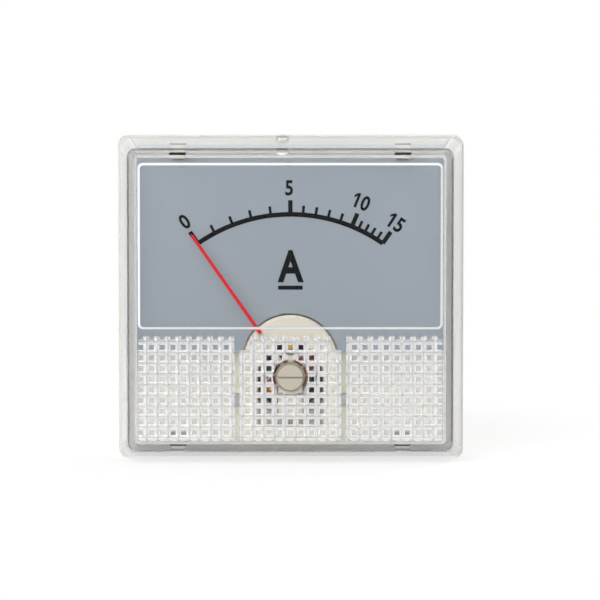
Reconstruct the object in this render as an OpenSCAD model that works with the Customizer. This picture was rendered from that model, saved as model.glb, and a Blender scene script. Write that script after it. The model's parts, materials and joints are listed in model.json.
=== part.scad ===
// Panel ammeter with a clear snap-on cover, a round rear case and a core-magnet moving-coil movement.
// Origin: centre of the seat plane, where the flange meets the panel. +Z up, the dial faces -Y.

/* [Front cover] */
// Width of the cover at the panel
cover_w = 64; // [62:0.5:70]
// Height of the cover at the panel
cover_h = 60; // [59:0.5:66]
// Distance from the panel to the cover's front face
cover_depth = 14; // [13.8:0.1:17]
// How far each side leans in from the panel to the front face
cover_draft = 2.5; // [1:0.25:2.5]
// Thickness of the cover's four sides
cover_wall = 1.6; // [1.2:0.1:1.8]
// Thickness of the cover's front
face_wall = 1.8; // [1.6:0.1:2]
// Radius of the cover's corners
cover_corner_r = 1.6; // [1:0.1:2.5]
// Gap between the cover's rim and the case's lip
rim_gap = 0.2; // [0.1:0.05:0.4]
// Width of the clear window pad
window_w = 54.8; // [48:0.2:55]
// Height of the clear window pad
window_h = 29.7; // [26:0.1:30]
// Height of the window pad's middle above the origin
window_z = 9.85; // [9:0.05:10.5]
// How far the window pad stands proud of the front face
window_rise = 0.5; // [0.3:0.1:0.8]

/* [Prism grid] */
// Distance from one groove to the next
grid_pitch = 1.94; // [1.8:0.02:2.2]
// Depth of each 90 degree groove
groove_depth = 0.5; // [0.3:0.05:0.6]
// Height of the grid's top edge above the origin
grid_top = -6.6; // [-8:0.1:-6]
// Radius of the plain ring round the zero adjuster
boss_r = 3.2; // [3.1:0.1:3.6]

/* [Case] */
// Outer radius of the round rear case
case_r = 25.8; // [25:0.1:26.5]
// Length of the rear case behind the panel
case_len = 32; // [30:0.5:40]
// Wall thickness of the rear case
case_wall = 1.6; // [1.2:0.1:1.8]
// Thickness of the flange that rests on the panel
flange_t = 3; // [2.8:0.1:3.4]
// Thickness of the lip behind the cover's rim
lip_t = 1; // [0.8:0.1:1.2]
// Bevel round the back of the case
case_bevel = 0.8; // [0.4:0.1:1.2]
// Gap between the flange and the inside of the cover
flange_gap = 0.35; // [0.2:0.05:0.5]
// Sideways distance of each snap hook from the middle
hook_x = 20.5; // [17.5:0.5:21.5]
// Width of a snap hook
hook_w = 2.4; // [2:0.1:3]

/* [Dial] */
// Distance from the panel to the dial's face
dial_front = 7; // [6.8:0.05:7.2]
// Thickness of the dial plate
dial_t = 0.6; // [0.4:0.05:0.8]
// Height of the dial plate's lower edge above the origin
dial_bottom = -10; // [-11:0.1:-9]
// Inner radius of the scale arc
scale_r = 29; // [27:0.1:29.5]
// Half of the pointer's sweep from zero to full scale, in degrees
half_sweep = 35; // [30:0.5:36]

/* [Movement] */
// How far the pivot lies below the origin
pivot_drop = 14; // [13.8:0.1:14.2]
// Radius of the core magnet
core_r = 4.5; // [4:0.1:4.6]
// Length of the core magnet and the yoke ring
core_len = 11; // [9:0.5:13]
// Inner radius of the yoke ring
yoke_bore_r = 6.3; // [6.2:0.05:6.4]
// Outer radius of the yoke ring
yoke_r = 7.5; // [7.3:0.05:7.6]
// Radius of the arched top of the movement's shroud
shroud_r = 8.6; // [8.4:0.05:8.8]
// How far the middle of the shroud's arch lies above the pivot
shroud_lift = 2.4; // [2:0.1:2.8]
// Length of the pointer from the pivot to its tip
pointer_len = 31.6; // [29:0.1:32]
// Width of the pointer
pointer_w = 0.7; // [0.5:0.05:0.9]
// Radius of the zero adjuster
adjuster_r = 2.35; // [2:0.05:2.5]
// Distance of the adjuster's pin from the pivot
pin_offset = 1.7; // [1.5:0.05:1.9]

/* [Terminals and studs] */
// Distance between the two terminal bolts
terminal_gap = 24; // [22:0.5:28]
// Radius of a terminal bolt's shank
bolt_r = 2; // [1.8:0.05:2.2]
// Length of a terminal bolt's free threaded end
bolt_free = 9; // [6:0.5:12]
// Distance from each side of the cover to the middle of a mounting stud
stud_inset = 7; // [6.5:0.25:7.5]
// Radius of a mounting stud
stud_r = 1.5; // [1.3:0.05:1.7]
// Length of a mounting stud behind the panel
stud_len = 14; // [10:0.5:20]

/* [Hidden] */
$fn = 64;
cut = 1;             // how far a cutter runs past the face that it opens
skin = 0.01;         // thickness of the slices that a hull joins
fit_gap = 0.05;      // radial running clearance of a pin in its hole
seat_gap = 0.3;      // clearance round a piece that drops into its place

// Cover
edge_bevel = 0.4;
inner_bevel = 0.5;
face_y = -cover_depth;
rim_y = -lip_t - rim_gap;
inner_face_y = face_y + face_wall;
pocket_depth = 0.8;
bore_r = adjuster_r + fit_gap;
gate_r = 1.4;
gate_y = -4;
gate_x = -1.5;
function lean(y) = cover_draft * -y / cover_depth;      // how far a side has leaned in at depth y
function inner_w(y) = cover_w - 2 * lean(y) - 2 * cover_wall;
function inner_h(y) = cover_h - 2 * lean(y) - 2 * cover_wall;

// Case and deck
flange_y = -flange_t;
flange_w = inner_w(flange_y) - 2 * flange_gap;
flange_h = inner_h(flange_y) - 2 * flange_gap;
case_bore_r = case_r - case_wall;
floor_y = case_len - case_wall;
hook_t = 1;
hook_nub = 0.6;
nub_len = 1;
hook_top_y = -dial_front - 1.8;
hook_outer_z = inner_h(hook_top_y) / 2 - flange_gap / 2;
deck_t = 2;
deck_y = flange_y - deck_t;
deck_w = flange_w - 1.6;
stud_dx = cover_w - 2 * stud_inset;
stud_dz = cover_h - 2 * stud_inset;
stud_head_r = stud_r + 0.9;
stud_neck_r = stud_r + 0.5;
stud_neck_len = 1;
deck_bottom = -flange_h / 2 + 0.4;
deck_top = dial_bottom + 2.8;
pad_r = 1.5;

// Dial
dial_y = -dial_front;
dial_back_y = dial_y + dial_t;
dial_w = inner_w(dial_y) - 2 * flange_gap;
dial_top = inner_h(dial_y) / 2 - flange_gap;
ink_t = 0.05;
band_w = 0.85;
minor_tick_len = 1.25;
major_tick_len = 2.15;
minor_tick_w = 0.5;
major_tick_w = 0.8;
underline_w = 4.5;
underline_t = 0.73;
underline_z = 2;
// Angle of each ampere mark, counted clockwise from straight up: even steps that narrow twice
function mark_angle(amps) = half_sweep / 35 *
  (amps <= 5 ? -35 + 7 * amps : amps <= 10 ? 4.5 * (amps - 5) : 22.5 + 2.5 * (amps - 10));

// Movement, front to back
front_gap = 0.5;                               // play between the coil's ends and the core
core_y = deck_y - 0.8;
core_back_y = core_y + core_len;
former_t = 0.23;
winding_t = 0.7;
coil_half = core_r + 0.25 + former_t + winding_t;
coil_w = 3.2;
coil_y = core_y - front_gap - former_t - winding_t;
coil_back_y = core_back_y + front_gap + former_t + winding_t;
shroud_y = dial_y - 1.5;
shroud_wall = 0.9;
shroud_face_t = 0.8;
shroud_bevel = 0.5;
shroud_mid = shroud_lift - pivot_drop;
shroud_open = 6;
pointer_y = shroud_y - 0.45;
pointer_t = 0.25;
arm_w = 0.5;
tail_len = 5.6;
side_arm_len = 4.6;
hub_r = 0.9;
hub_t = 0.7;
staff_r = 0.3;
staff_foot_t = 0.4;
spring_y = pointer_y - 0.8;
spring_t = 0.25;
bridge_t = 0.7;
bridge_w = 4.4;
bridge_front_y = spring_y - 1.1;
jewel_r = 0.9;
jewel_end_y = spring_y - spring_t - 0.1;
lever_t = 0.25;
lever_y = bridge_front_y - 0.4;
adjuster_inner_y = inner_face_y + 0.4;
adjuster_lip_r = adjuster_r + 0.35;
pin_r = 0.35;
foot_t = 1.1;
foot_z = yoke_r - 0.05;
back_lip_len = 0.8;
back_lip_y = core_back_y + back_lip_len;
rear_spring_y = coil_back_y + staff_foot_t + 0.3;
rear_bridge_y = rear_spring_y + spring_t + 0.65;
spring_turns = 4;
spring_r0 = 0.62;
spring_r1 = 3.6;
spring_w = 0.12;
tube_r = shroud_r;
screw_r = 0.8;
screw_head_r = 1.25;
screw_x = shroud_r + screw_head_r + 0.1;
screw_z = -pivot_drop - 4.7;
screw_hole_y = 8;
ear_t = 0.8;
ear_r = 1.9;

// Terminals
lug_t = 1;
terminal_boss_t = 2;
terminal_boss_r = 3.8;
bolt_head_t = 2.8;
bolt_head_af = 7;
washer_t = 0.8;
washer_r = bolt_r + 2.5;
spring_washer_r = bolt_r + 1.5;
spring_washer_t = 0.9;
nut_t = 3.2;
thread_r = bolt_r - 0.05;
lug_y = floor_y - terminal_boss_t - lug_t;
washer_y = case_len;
spring_washer_y = washer_y + washer_t;
nut_y = spring_washer_y + spring_washer_t;
shank_end_y = nut_y + nut_t;
neck_len = 0.6;
lead_r = 0.45;
lead_x = terminal_gap / 2 - 6;
lead_z = 0.6;
lead_end_y = lug_y - 0.02;

// A plate from depth y0 to y1, its outline drawn in x and z as seen from the front
module plate(y0, y1) {
  translate([0, y1, 0]) rotate([90, 0, 0]) linear_extrude(y1 - y0) children();
}

// A round bar along Y from depth y0 to y1; r2 is its radius at y1
module bar(y0, y1, r, r2 = -1) {
  translate([0, y0, 0]) rotate([-90, 0, 0]) cylinder(h = y1 - y0, r1 = r, r2 = r2 < 0 ? r : r2);
}

// A hexagonal prism along Y
module hex_bar(y0, y1, across_flats) {
  translate([0, y0, 0]) rotate([-90, 0, 0])
    cylinder(h = y1 - y0, r = across_flats / sqrt(3), $fn = 6);
}

module at_pivot() {
  translate([0, 0, -pivot_drop]) children();
}

// Turns a piece clockwise, as seen from the front
module clockwise(angle) {
  rotate([0, angle, 0]) children();
}

// The pointer, its coil and staffs, turned to the zero mark
module moving_part() {
  at_pivot() clockwise(-half_sweep) children();
}

module both_sides() {
  children();
  mirror([1, 0, 0]) children();
}

module four_corners(dx, dz) {
  for (sx = [-1, 1])
    for (sz = [-1, 1])
      translate([sx * dx / 2, 0, sz * dz / 2]) children();
}

// A rectangle with round corners, w wide and h high
module round_rect(w, h, r) {
  square([w - 2 * r, h], center = true);
  square([w, h - 2 * r], center = true);
  for (sx = [-1, 1])
    for (sz = [-1, 1])
      translate([sx * (w / 2 - r), sz * (h / 2 - r)]) circle(r);
}

// A block through slices of [width, height, corner radius, depth y]
module drafted_block(slices) {
  hull()
    for (s = slices)
      four_corners(s[0] - 2 * s[2], s[1] - 2 * s[2])
        translate([0, s[3], 0]) rotate([90, 0, 0]) cylinder(h = skin, r = s[2], $fn = 32);
}

// A ring sector about the pivot between two clock angles, drawn as a flat outline
module arc_band(r0, r1, from, to) {
  reach = r1 * 1.5;
  translate([0, -pivot_drop]) intersection() {
    difference() {
      circle(r1, $fn = 128);
      circle(r0, $fn = 128);
    }
    polygon([[0, 0], [reach * sin(from), reach * cos(from)], [0, reach],
             [reach * sin(to), reach * cos(to)]]);
  }
}

// ---- Front cover ----

module cover_outside() {
  shoulder_y = face_y + edge_bevel;
  drafted_block([
    [cover_w - 2 * lean(rim_y), cover_h - 2 * lean(rim_y), cover_corner_r, rim_y],
    [cover_w - 2 * lean(shoulder_y), cover_h - 2 * lean(shoulder_y), cover_corner_r, shoulder_y],
    [cover_w - 2 * lean(shoulder_y) - 2 * edge_bevel, cover_h - 2 * lean(shoulder_y) - 2 * edge_bevel,
     cover_corner_r - edge_bevel, face_y + skin]
  ]);
}

module cover_inside() {
  r = max(cover_corner_r - cover_wall / 2, 0.4);
  bevel_y = inner_face_y + inner_bevel;
  drafted_block([
    [inner_w(cut), inner_h(cut), r, cut],
    [inner_w(bevel_y), inner_h(bevel_y), r, bevel_y],
    [inner_w(bevel_y) - 2 * inner_bevel, inner_h(bevel_y) - 2 * inner_bevel, r - inner_bevel + 0.1,
     inner_face_y + skin]
  ]);
}

module window_pad() {
  translate([0, 0, window_z]) drafted_block([
    [window_w + window_rise, window_h + window_rise, 1, face_y + skin],
    [window_w - window_rise, window_h - window_rise, 0.6, face_y - window_rise + skin]
  ]);
}

// The cross-section of a groove in the cover's inner face
module groove_profile() {
  over = 0.2;
  polygon([[-groove_depth - over, over], [groove_depth + over, over], [0, -groove_depth]]);
}

module upright_groove(x, z0, z1) {
  translate([x, inner_face_y, z0]) linear_extrude(z1 - z0) groove_profile();
}

module level_groove(z, x0, x1) {
  translate([x0, inner_face_y, z]) rotate([0, 90, 0]) linear_extrude(x1 - x0) groove_profile();
}

// Upright and level grooves in the cover's inner face cross into a grid of small prisms.
// A plain column on each side marks off the field in front of the movement.
module prism_grid() {
  half_field = 4;                                       // columns from the middle to the plain one
  edge = groove_depth + 0.05;                           // from the last groove to the cover's wall
  side_x = inner_w(inner_face_y) / 2 - inner_bevel;
  bottom = -inner_h(inner_face_y) / 2 + inner_bevel + 0.1;
  first_z = grid_top - 2 * groove_depth;
  columns = floor((side_x - edge) / grid_pitch - 0.5);
  rows = floor((first_z - edge - bottom) / grid_pitch);
  edge_x = (half_field + 0.5) * grid_pitch + groove_depth;
  outer_x = (half_field + 1.5) * grid_pitch - groove_depth;
  difference() {
    union() {
      both_sides()
        for (k = [0:columns])
          upright_groove((k + 0.5) * grid_pitch, bottom, k == half_field ? grid_top - 3 : grid_top);
      for (j = [0:rows]) {
        z = first_z - j * grid_pitch;
        reach = j == 0 ? edge_x - grid_pitch : edge_x;
        level_groove(z, -reach, reach);
        both_sides() level_groove(z, outer_x, side_x - 0.1);
      }
    }
    at_pivot() bar(inner_face_y - cut, inner_face_y + cut, boss_r);
  }
}

module front_cover() color([0.93, 0.95, 0.96, 0.35]) {
  difference() {
    union() {
      cover_outside();
      window_pad();
      translate([gate_x, 0, cover_h / 2 - gate_r + 0.2]) bar(gate_y, rim_y - 0.3, gate_r);
    }
    cover_inside();
    prism_grid();
    at_pivot() bar(face_y - cut, inner_face_y + cut, bore_r);
    for (sx = [-1, 1])
      for (sz = [-1, 1])
        translate([sx * hook_x, hook_top_y - 0.3, sz * (hook_outer_z + hook_nub + 0.2)])
          hook_pocket(sz);
  }
}

// The pocket that a snap hook's nub springs into, cut outward from the inside of the wall
module hook_pocket(side) {
  depth = pocket_depth + flange_gap;
  translate([-hook_w / 2 - seat_gap, 0, side > 0 ? -depth : 0])
    cube([hook_w + 2 * seat_gap, nub_len + 0.6, depth]);
}

// ---- Dial ----

module arch_outline(r, bottom) {
  translate([0, shroud_mid]) circle(r);
  translate([-r, bottom]) square([2 * r, shroud_mid - bottom]);
}

module dial_plate() color([0.62, 0.66, 0.69]) {
  notch_h = hook_t + hook_nub + 0.8;
  plate(dial_y, dial_back_y) difference() {
    translate([0, (dial_top + dial_bottom) / 2]) round_rect(dial_w, dial_top - dial_bottom, 0.8);
    arch_outline(shroud_r + seat_gap, dial_bottom - cut);
    both_sides() translate([hook_x - hook_w / 2 - seat_gap, hook_outer_z - hook_t - seat_gap])
      square([hook_w + 2 * seat_gap, notch_h + cut]);
  }
}

module tick(angle, length, width) {
  translate([0, -pivot_drop]) rotate(-angle) translate([-width / 2, scale_r + band_w / 2])
    square([width, band_w / 2 + length]);
}

module scale_marks() color([0.05, 0.06, 0.08]) {
  plate(dial_y - ink_t, dial_y) {
    arc_band(scale_r, scale_r + band_w, -half_sweep, half_sweep);
    for (amps = [0:15]) {
      major = amps % 5 == 0;
      tick(mark_angle(amps), major ? major_tick_len : minor_tick_len,
           major ? major_tick_w : minor_tick_w);
    }
    translate([-underline_w / 2, underline_z - underline_t / 2]) square([underline_w, underline_t]);
  }
}

// ---- Rear case ----

module snap_hook(side) {
  z = side > 0 ? hook_outer_z - hook_t : -hook_outer_z;
  translate([-hook_w / 2, hook_top_y, z]) cube([hook_w, flange_y + 0.5 - hook_top_y, hook_t]);
  // the nub slopes at the front so that the cover pushes it aside
  translate([hook_w / 2, hook_top_y, side * hook_outer_z]) rotate([0, -90, 0]) linear_extrude(hook_w)
    polygon([[-side * 0.1, 0], [0, 0], [side * hook_nub, nub_len * 0.8], [side * hook_nub, nub_len],
             [-side * 0.1, nub_len]]);
}

module rear_case() color([0.9, 0.89, 0.84]) {
  post_r = ear_r;
  difference() {
    union() {
      plate(flange_y, 0) round_rect(flange_w, flange_h, 1);
      plate(-lip_t, 0) round_rect(cover_w, cover_h, cover_corner_r);
      bar(0, case_len - case_bevel, case_r);
      bar(case_len - case_bevel, case_len, case_r, case_r - case_bevel);
      for (sx = [-1, 1])
        for (side = [-1, 1])
          translate([sx * hook_x, 0, 0]) snap_hook(side);
      both_sides() translate([hook_x - 5.5, 0, dial_top - 2]) bar(dial_back_y, flange_y, pad_r);
      both_sides() translate([dial_w / 2 - pad_r - 0.2, 0, 4]) bar(dial_back_y, flange_y, pad_r);
    }
    difference() {
      bar(flange_y - cut, floor_y, case_bore_r);
      both_sides() translate([terminal_gap / 2, 0, 0])
        bar(floor_y - terminal_boss_t, floor_y + cut, terminal_boss_r);
      both_sides() screw_post(post_r);
    }
    both_sides() translate([terminal_gap / 2, 0, 0])
      bar(floor_y - terminal_boss_t - cut, case_len + cut, bolt_r + fit_gap);
    both_sides() translate([screw_x, 0, screw_z]) bar(flange_y - cut, screw_hole_y, screw_r + fit_gap);
    four_corners(stud_dx, stud_dz) {
      bar(flange_y - cut, -stud_neck_len, stud_head_r + fit_gap);
      bar(-stud_neck_len - cut, cut, stud_neck_r + fit_gap);
    }
  }
}

// A post for one of the frame's screws, with a web to the case's wall
module screw_post(r) {
  reach = case_bore_r + case_wall / 2;
  away = norm([screw_x, screw_z]);
  translate([screw_x, 0, screw_z]) bar(flange_y, floor_y + cut, r);
  intersection() {
    translate([0, flange_y, 0]) rotate([0, atan2(-screw_z, screw_x), 0])
      translate([away, 0, -r * 0.6]) cube([reach - away, floor_y - flange_y + cut, r * 1.2]);
    bar(flange_y, floor_y + cut, reach);
  }
}

module mounting_studs() color([0.75, 0.76, 0.78]) {
  tip = 0.4;
  four_corners(stud_dx, stud_dz) {
    bar(flange_y + 0.2, -stud_neck_len, stud_head_r);
    bar(-stud_neck_len, 0, stud_neck_r);
    bar(0, stud_len - tip, stud_r);
    bar(stud_len - tip, stud_len, stud_r, stud_r - tip);
  }
}

// ---- Movement frame and shroud ----

module movement_frame() color([0.91, 0.9, 0.84]) {
  notch_w = hook_w + 2 * seat_gap;
  difference() {
    union() {
      plate(deck_y, flange_y) {
        translate([0, (deck_top + deck_bottom) / 2]) round_rect(deck_w, deck_top - deck_bottom, 1);
        arch_outline(shroud_r + seat_gap, deck_top - 1);
      }
      at_pivot() bar(deck_y, back_lip_y, tube_r);
      both_sides() translate([hook_x - 0.5, 0, deck_top - 1.6]) bar(dial_back_y, deck_y, pad_r);
    }
    at_pivot() bar(deck_y - cut, core_back_y, yoke_r + fit_gap);
    at_pivot() bar(core_back_y - cut, back_lip_y + cut, yoke_bore_r + 0.3);
    // a gap in the rear lip for the lead that is soldered to the yoke
    at_pivot() translate([-yoke_r, core_back_y, -1.2]) cube([yoke_r, back_lip_len + cut, 2.4]);
    both_sides() translate([screw_x, 0, screw_z]) bar(deck_y - cut, flange_y + cut, screw_r + fit_gap);
    both_sides() translate([hook_x - notch_w / 2, deck_y - cut, deck_bottom - cut])
      cube([notch_w, deck_t + 2 * cut, hook_t + hook_nub + 0.8 + cut]);
  }
}

module shroud_body(r, front_y, bottom) {
  plate(front_y + shroud_bevel, deck_y) arch_outline(r, bottom);
  translate([0, 0, shroud_mid]) bar(front_y, front_y + shroud_bevel, r - shroud_bevel, r);
  translate([0, 0, bottom]) linear_extrude(shroud_mid - bottom) polygon([
    [-r, front_y + shroud_bevel], [-r + shroud_bevel, front_y], [r - shroud_bevel, front_y],
    [r, front_y + shroud_bevel]]);
}

module movement_shroud() color([0.9, 0.89, 0.81]) {
  bottom = flange_gap - inner_h(shroud_y) / 2;
  back = shroud_y + shroud_face_t;
  difference() {
    union() {
      shroud_body(shroud_r, shroud_y, bottom);
      plate(deck_y - ear_t, deck_y) both_sides() {
        translate([screw_x, screw_z]) circle(ear_r);
        translate([shroud_r - 1, screw_z - ear_r]) square([screw_x - shroud_r + 1, 2 * ear_r]);
      }
    }
    plate(back, deck_y + cut) arch_outline(shroud_r - shroud_wall, bottom + shroud_wall);
    // the opening runs from above the pivot down past the bridge's foot
    at_pivot() {
      bar(shroud_y - cut, back + cut, shroud_open);
      translate([-shroud_open, shroud_y - cut, -9.3])
        cube([2 * shroud_open, shroud_face_t + 2 * cut, 9.3]);
      translate([2.65, 0, 7.4]) bar(shroud_y - cut, shroud_y + 0.2, 0.4);
    }
    both_sides() translate([screw_x, 0, screw_z]) bar(deck_y - ear_t - cut, deck_y + cut, screw_r + fit_gap);
  }
}

module frame_screws() color([0.45, 0.45, 0.44]) {
  head_t = 0.8;
  head_y = deck_y - ear_t - head_t;
  cross_w = 0.3;
  point_y = screw_hole_y - 1.5;
  both_sides() translate([screw_x, 0, screw_z]) difference() {
    union() {
      bar(head_y, head_y + 0.3, screw_head_r - 0.3, screw_head_r);
      bar(head_y + 0.3, deck_y - ear_t, screw_head_r);
      bar(deck_y - ear_t, point_y, screw_r);
      bar(point_y, point_y + 0.8, screw_r, 0.2);
    }
    for (angle = [0, 90])
      rotate([0, angle, 0]) translate([-0.8, head_y - cut, -cross_w / 2]) cube([1.6, cut + 0.4, cross_w]);
  }
}

// ---- Magnetic circuit ----

module yoke_ring() color([0.42, 0.43, 0.45]) {
  at_pivot() difference() {
    bar(core_y, core_back_y, yoke_r);
    bar(core_y - cut, core_back_y + cut, yoke_bore_r);
  }
}

module core_magnet() color([0.35, 0.34, 0.35]) {
  bevel = 0.3;
  at_pivot() {
    bar(core_y, core_y + bevel, core_r - bevel, core_r);
    bar(core_y + bevel, core_back_y - bevel, core_r);
    bar(core_back_y - bevel, core_back_y, core_r, core_r - bevel);
  }
}

// Two brass keys hold the core inside the yoke, where the coil never comes
module core_keys() color([0.78, 0.66, 0.38]) {
  key_w = 1.8;
  at_pivot() difference() {
    for (side = [-1, 1])
      intersection() {
        translate([-key_w / 2, core_y + 1, side > 0 ? 0 : -yoke_bore_r])
          cube([key_w, core_len - 2, yoke_bore_r]);
        bar(core_y, core_back_y, yoke_bore_r - 0.02);
      }
    bar(core_y, core_back_y, core_r + 0.02);
  }
}

// ---- Bridges and jewels ----

module bridge_outline() {
  difference() {
    union() {
      circle(bridge_w / 2);
      translate([-bridge_w / 2, -foot_z]) square([bridge_w, foot_z]);
    }
    circle(jewel_r + 0.02);
  }
}

module front_bridge() color([0.87, 0.85, 0.8]) {
  at_pivot() {
    plate(bridge_front_y, bridge_front_y + bridge_t) bridge_outline();
    translate([-bridge_w / 2, bridge_front_y, -foot_z])
      cube([bridge_w, core_y - bridge_front_y, foot_t]);
  }
}

module rear_bridge() color([0.8, 0.7, 0.45]) {
  at_pivot() {
    plate(rear_bridge_y, rear_bridge_y + bridge_t) bridge_outline();
    translate([-bridge_w / 2, back_lip_y, -foot_z])
      cube([bridge_w, rear_bridge_y + bridge_t - back_lip_y, foot_t]);
  }
}

module front_jewel_screw() color([0.72, 0.58, 0.32]) {
  head_y = lever_y - 0.15;
  at_pivot() difference() {
    union() {
      bar(head_y, lever_y - 0.03, 1.3);
      bar(lever_y - 0.03, jewel_end_y, jewel_r);
    }
    bar(jewel_end_y - 0.5, jewel_end_y + skin, 0.1, 0.5);
    translate([-2, head_y - cut, -0.15]) cube([4, cut + 0.08, 0.3]);
  }
}

module rear_jewel_screw() color([0.72, 0.58, 0.32]) {
  tip_y = rear_spring_y + 0.5;
  end_y = rear_bridge_y + bridge_t + 1;
  at_pivot() difference() {
    bar(tip_y, end_y, jewel_r);
    bar(tip_y - skin, tip_y + 0.5, 0.5, 0.1);
    translate([-2, end_y - 0.4, -0.15]) cube([4, cut + 0.4, 0.3]);
  }
}

// ---- Moving part ----

module pointer() color([0.82, 0.1, 0.12]) {
  tip_w = pointer_w * 0.8;
  eye_r = 1.1;
  plate_y = pointer_y - pointer_t;
  moving_part() difference() {
    union() {
      bar(plate_y, pointer_y, eye_r);
      plate(plate_y, pointer_y)
        polygon([[-pointer_w / 2, eye_r / 2], [-tip_w / 2, pointer_len - 0.6], [0, pointer_len],
                 [tip_w / 2, pointer_len - 0.6], [pointer_w / 2, eye_r / 2]]);
      // a tail and two side arms carry the balance weights
      for (angle = [90, 180, 270])
        clockwise(angle) translate([-arm_w / 2, plate_y, eye_r / 2])
          cube([arm_w, pointer_t, (angle == 180 ? tail_len : side_arm_len) - eye_r / 2]);
    }
    bar(plate_y - cut, pointer_y + cut, staff_r + 0.01);
  }
}

// One weight is a small drum with a slot that slides along its arm
module weight(from, to, r) {
  mid_y = pointer_y - pointer_t / 2;
  slot_w = arm_w + 0.02;
  slot_t = pointer_t + 0.02;
  difference() {
    translate([0, mid_y, from]) cylinder(h = to - from, r = r);
    translate([-slot_w / 2, mid_y - slot_t / 2, from - cut]) cube([slot_w, slot_t, to - from + 2 * cut]);
  }
}

module balance_weights() color([0.8, 0.68, 0.4]) {
  moving_part() {
    clockwise(180) weight(tail_len - 1.8, tail_len, 0.95);
    for (angle = [90, 270])
      clockwise(angle) weight(side_arm_len - 1.2, side_arm_len, 0.5);
  }
}

module pointer_hub() color([0.75, 0.76, 0.78]) {
  moving_part() difference() {
    bar(pointer_y, pointer_y + hub_t, hub_r);
    bar(pointer_y - cut, pointer_y + hub_t + cut, staff_r + 0.01);
  }
}

// A rounded frame about the core, in the plane across the pointer
module coil_loop(half_x, y0, y1, width, corner) {
  translate([0, (y0 + y1) / 2, -width / 2]) linear_extrude(width)
    round_rect(2 * half_x, y1 - y0, corner);
}

module moving_coil() color([0.62, 0.3, 0.16]) {
  moving_part() difference() {
    coil_loop(coil_half, coil_y, coil_back_y, coil_w, 1);
    coil_loop(coil_half - winding_t, coil_y + winding_t, coil_back_y - winding_t, coil_w + 1, 0.4);
  }
}

module coil_former() color([0.8, 0.81, 0.83]) {
  half_x = coil_half - winding_t - 0.01;
  y0 = coil_y + winding_t + 0.01;
  y1 = coil_back_y - winding_t - 0.01;
  moving_part() difference() {
    coil_loop(half_x, y0, y1, coil_w + 0.4, 0.4);
    coil_loop(half_x - former_t, y0 + former_t, y1 - former_t, coil_w + 1, 0.2);
  }
}

module front_staff() color([0.7, 0.71, 0.74]) {
  tip_y = jewel_end_y - 0.25;
  moving_part() {
    bar(coil_y - staff_foot_t, coil_y, 1.2);
    bar(tip_y + 0.5, coil_y - staff_foot_t, staff_r);
    bar(tip_y, tip_y + 0.5, 0.05, staff_r);
  }
}

module rear_staff() color([0.7, 0.71, 0.74]) {
  tip_y = rear_spring_y + 0.75;
  moving_part() {
    bar(coil_back_y, coil_back_y + staff_foot_t, 1.2);
    bar(coil_back_y + staff_foot_t, tip_y - 0.4, staff_r);
    bar(tip_y - 0.4, tip_y, staff_r, 0.05);
  }
}

module collet(y0, y1) {
  difference() {
    bar(y0, y1, spring_r0 - spring_w / 2 - 0.02);
    bar(y0 - cut, y1 + cut, staff_r + 0.01);
  }
}

module spring_collets() color([0.8, 0.68, 0.4]) {
  moving_part() {
    collet(spring_y - spring_t, pointer_y - pointer_t - 0.02);
    collet(coil_back_y + staff_foot_t + 0.02, rear_spring_y + spring_t);
  }
}

// ---- Hairsprings, lever and adjuster ----

// A flat spiral from the collet to its outer end, straight above the pivot
function spiral(r, turns, t) = let (a = 360 * turns * (t - 1)) [r * sin(a), r * cos(a)];
function spiral_r(t) = spring_r0 + (spring_r1 - spring_r0) * t;

module spiral_outline() {
  steps = spring_turns * 20;
  polygon(concat(
    [for (i = [0:steps]) spiral(spiral_r(i / steps) + spring_w / 2, spring_turns, i / steps)],
    [for (i = [steps:-1:0]) spiral(spiral_r(i / steps) - spring_w / 2, spring_turns, i / steps)]));
}

module front_hairspring() color([0.75, 0.55, 0.25]) {
  at_pivot() plate(spring_y - spring_t, spring_y) spiral_outline();
}

module rear_hairspring() color([0.75, 0.55, 0.25]) {
  at_pivot() mirror([0, 0, 1]) plate(rear_spring_y, rear_spring_y + spring_t) spiral_outline();
}

module rear_spring_stud() color([0.8, 0.68, 0.4]) {
  at_pivot() translate([0, 0, -spring_r1 - spring_w / 2 - 0.35]) bar(rear_spring_y, rear_bridge_y, 0.35);
}

module zero_lever() color([0.8, 0.78, 0.7]) {
  tab_t = 0.3;
  tab_w = 1;
  tab_z = spring_r1 + spring_w / 2 + 0.01;
  fork_len = pin_offset + 1.3;
  slot = pin_r + fit_gap;
  at_pivot() {
    plate(lever_y, lever_y + lever_t) difference() {
      union() {
        circle(1.7);
        translate([-tab_w / 2, 0]) square([tab_w, tab_z + tab_t]);
        translate([-0.95, -fork_len]) square([1.9, fork_len]);
      }
      circle(jewel_r + fit_gap);
      translate([-slot, -fork_len - cut]) square([2 * slot, fork_len - pin_offset + slot + cut]);
    }
    translate([-tab_w / 2, lever_y + lever_t, tab_z]) cube([tab_w, spring_y - lever_y - lever_t, tab_t]);
  }
}

module zero_adjuster() color([0.78, 0.75, 0.69]) {
  proud = 0.2;
  slot_w = 0.35;
  slot_depth = 0.35;
  front = face_y - proud;
  at_pivot() {
    difference() {
      union() {
        bar(front, front + 0.15, adjuster_r - 0.15, adjuster_r);
        bar(front + 0.15, adjuster_inner_y, adjuster_r);
        bar(inner_face_y + 0.05, adjuster_inner_y, adjuster_lip_r);
      }
      translate([-adjuster_r - cut, front - cut, -slot_w / 2])
        cube([2 * (adjuster_r + cut), cut + slot_depth, slot_w]);
    }
    translate([0, 0, -pin_offset]) bar(adjuster_inner_y, lever_y + lever_t, pin_r);
  }
}

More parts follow.
